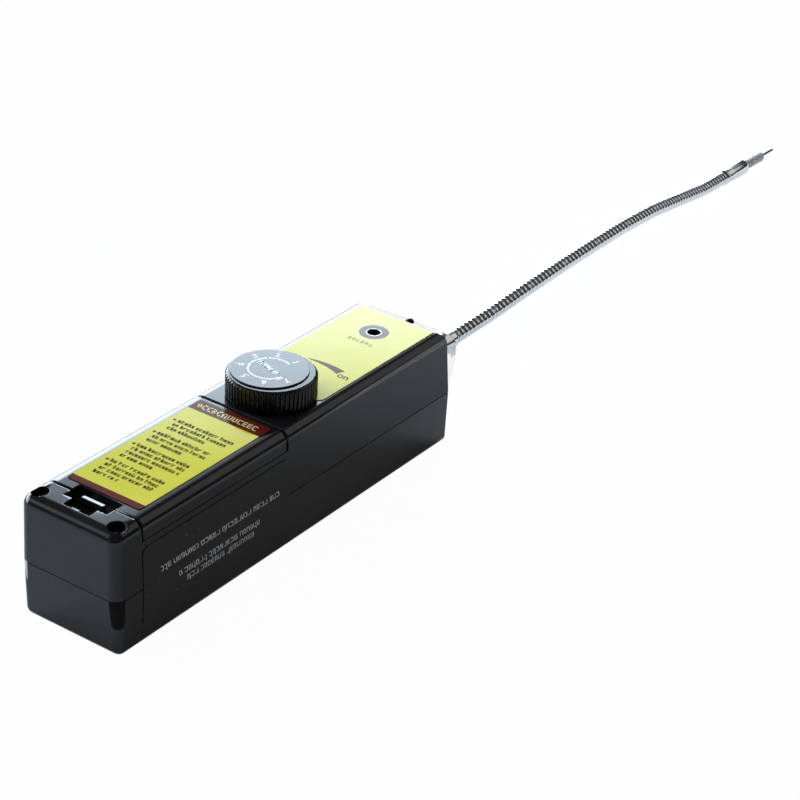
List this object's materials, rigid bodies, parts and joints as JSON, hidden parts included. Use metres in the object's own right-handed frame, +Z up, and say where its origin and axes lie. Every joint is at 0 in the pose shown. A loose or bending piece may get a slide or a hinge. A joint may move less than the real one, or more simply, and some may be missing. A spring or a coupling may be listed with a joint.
{
  "type": "refrigerant leak detector",
  "caption": "Hand-held refrigerant leak detector with a black two-shell case, yellow labels, sensitivity knob, lift-off battery lid and bendable chrome probe",
  "frame": {"origin": "middle of the case's flat underside", "axes": "+X along the case towards the probe tip, +Y to the left seen from the battery end, +Z up"},
  "size_m": [0.5003, 0.0423, 0.0555],
  "materials": {
    "case_black": "fine-textured moulded black plastic, satin",
    "knob_black": "smooth black knob plastic",
    "yellow_film": "glossy printed yellow film",
    "black_film": "printed black film",
    "dial_grey": "grey printed dial disc",
    "lens_white": "milky translucent plastic",
    "dark_metal": "black-finished screw",
    "plated_steel": "zinc-plated steel",
    "pot_brass": "brass bushing and can",
    "component_black": "black component plastic",
    "board_green": "green lacquered circuit board",
    "core_iron": "laminated core with a wound bobbin",
    "sleeve_blue": "blue shrink sleeve",
    "cell_wrap": null,
    "hose_chrome": "bright chrome plating",
    "sensor_grey": "matt grey guard sleeve",
    "needle_steel": "dark sensor wire"
  },
  "bodies": {
    "case": {"upper_case": "case_black", "lower_case": "case_black", "front_label": "yellow_film", "side_label": "black_film", "nose_lens": "lens_white", "nose_screw": "dark_metal", "case_screws": "plated_steel", "potentiometer": "pot_brass", "pot_washer": "plated_steel", "pot_nut": "plated_steel", "buzzer": "component_black", "circuit_board": "board_green", "board_screws": "plated_steel", "transformer": "core_iron", "capacitor": "sleeve_blue", "chip": "component_black", "battery_cells": "cell_wrap", "bridge_contact": "plated_steel", "terminal_contacts": "plated_steel", "battery_springs": "plated_steel", "base_ferrule": "hose_chrome", "probe_nut": "hose_chrome"},
    "lid": {"battery_lid": "case_black", "instruction_label": "yellow_film"},
    "knob": {"knob": "knob_black", "dial_plate": "dial_grey", "pot_shaft": "plated_steel"},
    "hose_1": {"hose_1": "hose_chrome"},
    "hose_2": {"hose_2": "hose_chrome"},
    "hose_3": {"hose_3": "hose_chrome"},
    "hose_4": {"hose_4": "hose_chrome"},
    "hose_5": {"hose_5": "hose_chrome"},
    "hose_6": {"hose_6": "hose_chrome"},
    "hose_7": {"hose_7": "hose_chrome"},
    "hose_8": {"hose_8": "hose_chrome"},
    "probe_tip": {"hose_9": "hose_chrome", "tip_ferrule": "hose_chrome", "sensor_sleeve": "sensor_grey", "sensor_needle": "needle_steel"}
  },
  "joints": [
    {"name": "knob_turn", "type": "hinge", "parent": "case", "child": "knob", "pos_m": [0.012, 0, 0.0467], "axis": [0, 0, 1], "range_deg": [-300, 0]},
    {"name": "lid_lift", "type": "slide", "parent": "case", "child": "lid", "axis": [0, 0, 1], "range_m": [0, 0.06]},
    {"name": "bend_1", "type": "hinge", "parent": "case", "child": "hose_1", "pos_m": [0.12298, 0, 0.0232], "axis": [0, 1, 0], "range_deg": [-13, 13]},
    {"name": "bend_2", "type": "hinge", "parent": "hose_1", "child": "hose_2", "pos_m": [0.14927, 0.00037, 0.0232], "axis": [0, 0, 1], "range_deg": [-13, 13]},
    {"name": "bend_3", "type": "hinge", "parent": "hose_2", "child": "hose_3", "pos_m": [0.17556, 0.00092, 0.02389], "axis": [0, 1, 0], "range_deg": [-13, 13]},
    {"name": "bend_4", "type": "hinge", "parent": "hose_3", "child": "hose_4", "pos_m": [0.20185, 0.0017, 0.02389], "axis": [0, 0, 1], "range_deg": [-13, 13]},
    {"name": "bend_5", "type": "hinge", "parent": "hose_4", "child": "hose_5", "pos_m": [0.22812, 0.00266, 0.02334], "axis": [0, 1, 0], "range_deg": [-13, 13]},
    {"name": "bend_6", "type": "hinge", "parent": "hose_5", "child": "hose_6", "pos_m": [0.25437, 0.00385, 0.02219], "axis": [0, 0, 1], "range_deg": [-13, 13]},
    {"name": "bend_7", "type": "hinge", "parent": "hose_6", "child": "hose_7", "pos_m": [0.28053, 0.00522, 0.01981], "axis": [0, 1, 0], "range_deg": [-13, 13]},
    {"name": "bend_8", "type": "hinge", "parent": "hose_7", "child": "hose_8", "pos_m": [0.30646, 0.00677, 0.01569], "axis": [0, 0, 1], "range_deg": [-13, 13]},
    {"name": "bend_9", "type": "hinge", "parent": "hose_8", "child": "probe_tip", "pos_m": [0.33234, 0.00848, 0.01135], "axis": [0, 1, 0], "range_deg": [-13, 13]}
  ]
}
